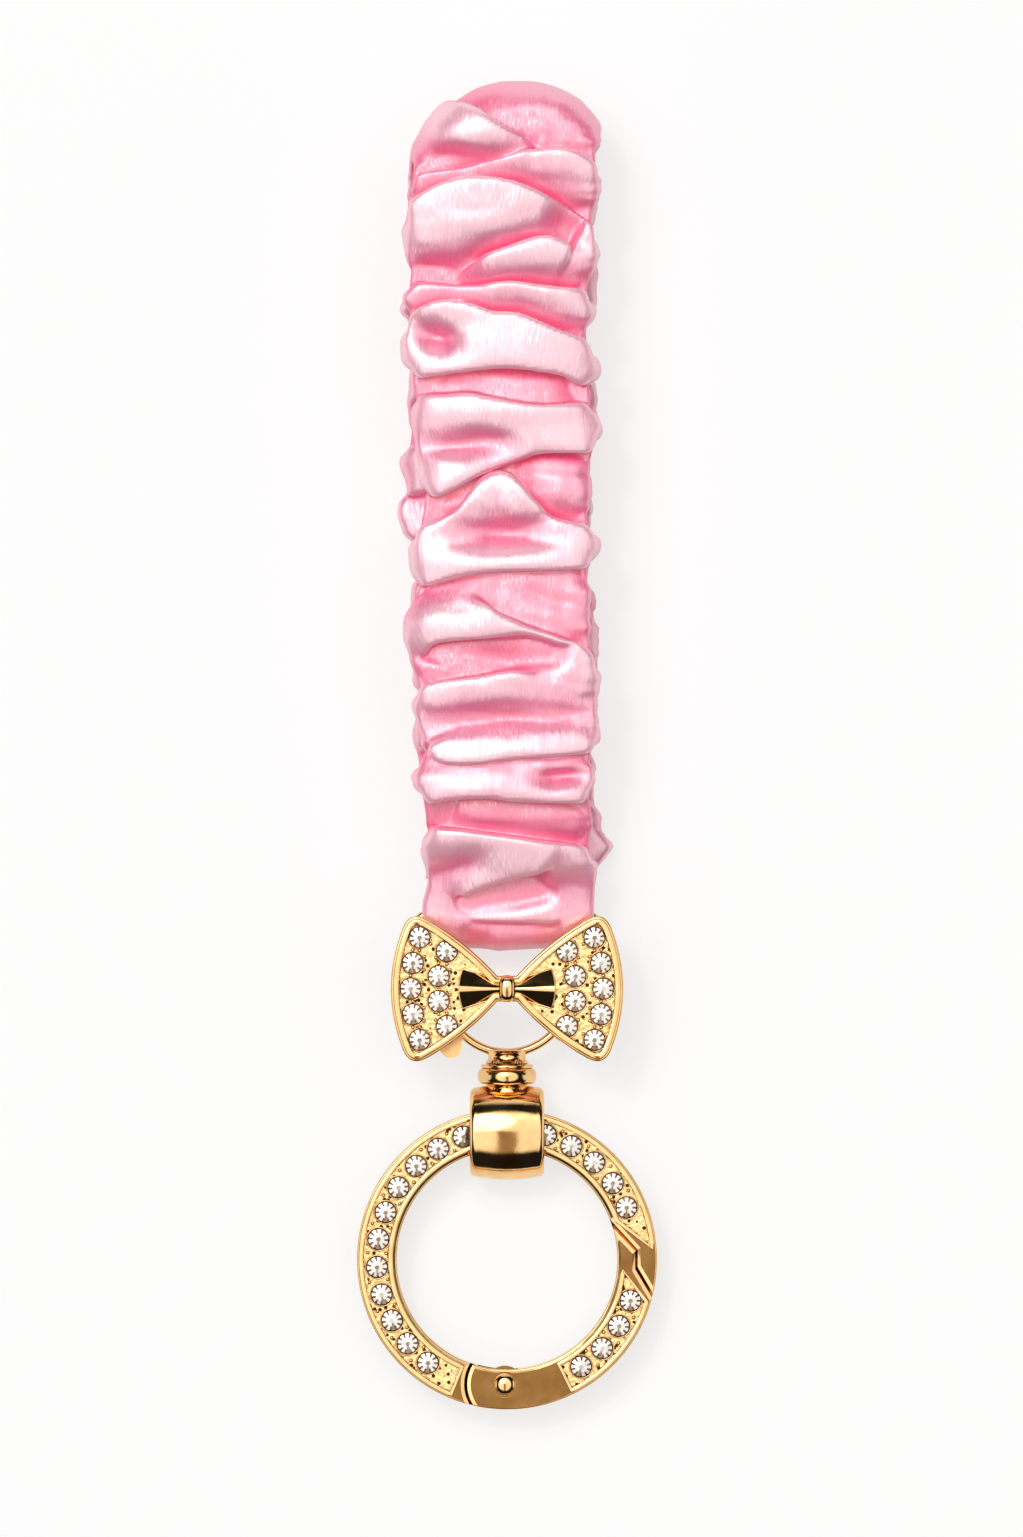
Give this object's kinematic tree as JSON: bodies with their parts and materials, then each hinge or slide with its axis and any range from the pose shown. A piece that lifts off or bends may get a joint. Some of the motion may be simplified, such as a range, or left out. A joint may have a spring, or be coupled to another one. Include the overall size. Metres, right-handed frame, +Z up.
{
  "type": "scrunchie wrist strap",
  "caption": "Ruched satin wrist loop on a bow-fronted strap ring set with round stones, with a swivel and a spring-gate ring for keys.",
  "frame": {"origin": "centre of the bounding box in plan, on the table it lies on", "axes": "+Y from the ring up the strap, +Z up from the table to the stone-set face, +X to the right seen from that face"},
  "size_m": [0.0376, 0.1662, 0.0151],
  "materials": {
    "pink_satin": "ruched satin",
    "woven_elastic": "woven elastic",
    "pink_thread": "sewing thread",
    "light_gold": "polished light gold plate",
    "clear_stone": "foil-backed faceted stone",
    "spring_steel": "drawn wire"
  },
  "bodies": {
    "strap": {"satin_sleeve": "pink_satin", "elastic_band": "woven_elastic", "closing_stitches": "pink_thread"},
    "bow": {"strap_ring": "light_gold", "bow_plate": "light_gold", "swivel_pin": "light_gold", "bow_stone_01": "clear_stone", "bow_stone_02": "clear_stone", "bow_stone_03": "clear_stone", "bow_stone_04": "clear_stone", "bow_stone_05": "clear_stone", "bow_stone_06": "clear_stone", "bow_stone_07": "clear_stone", "bow_stone_08": "clear_stone", "bow_stone_09": "clear_stone", "bow_stone_10": "clear_stone", "bow_stone_11": "clear_stone", "bow_stone_12": "clear_stone", "bow_stone_13": "clear_stone", "bow_stone_14": "clear_stone", "bow_stone_15": "clear_stone", "bow_stone_16": "clear_stone", "bow_stone_17": "clear_stone", "bow_stone_18": "clear_stone"},
    "holder": {"swivel_collar": "light_gold", "ring_holder": "light_gold"},
    "ring": {"ring_frame": "light_gold", "hinge_rivet": "light_gold", "gate_spring": "spring_steel", "ring_stone_01": "clear_stone", "ring_stone_02": "clear_stone", "ring_stone_03": "clear_stone", "ring_stone_04": "clear_stone", "ring_stone_05": "clear_stone", "ring_stone_06": "clear_stone", "ring_stone_07": "clear_stone", "ring_stone_08": "clear_stone", "ring_stone_09": "clear_stone", "ring_stone_10": "clear_stone", "ring_stone_11": "clear_stone", "ring_stone_12": "clear_stone", "ring_stone_13": "clear_stone", "ring_stone_14": "clear_stone", "ring_stone_15": "clear_stone", "ring_stone_16": "clear_stone", "ring_stone_17": "clear_stone", "ring_stone_18": "clear_stone"},
    "gate": {"ring_gate": "light_gold", "ring_stone_19": "clear_stone", "ring_stone_20": "clear_stone", "ring_stone_21": "clear_stone", "ring_stone_22": "clear_stone"}
  },
  "joints": [
    {"name": "strap_fold", "type": "hinge", "parent": "strap", "child": "bow", "pos_m": [0, -0.02117, 0.0052], "axis": [1, 0, 0], "range_deg": [0, 75]},
    {"name": "swivel", "type": "hinge", "parent": "bow", "child": "holder", "pos_m": [0, -0.03988, 0.0052], "axis": [0, 1, 0], "continuous": true},
    {"name": "ring_swing", "type": "hinge", "parent": "holder", "child": "ring", "pos_m": [0, -0.04842, 0.0052], "axis": [1, 0, 0], "range_deg": [-120, 120]},
    {"name": "gate_swing", "type": "hinge", "parent": "ring", "child": "gate", "pos_m": [-0.00027, -0.07997, 0.0052], "axis": [0, 0, 1], "range_deg": [0, 35], "stiffness_Nm_per_rad": 0.002, "springref_deg": -17.19}
  ]
}
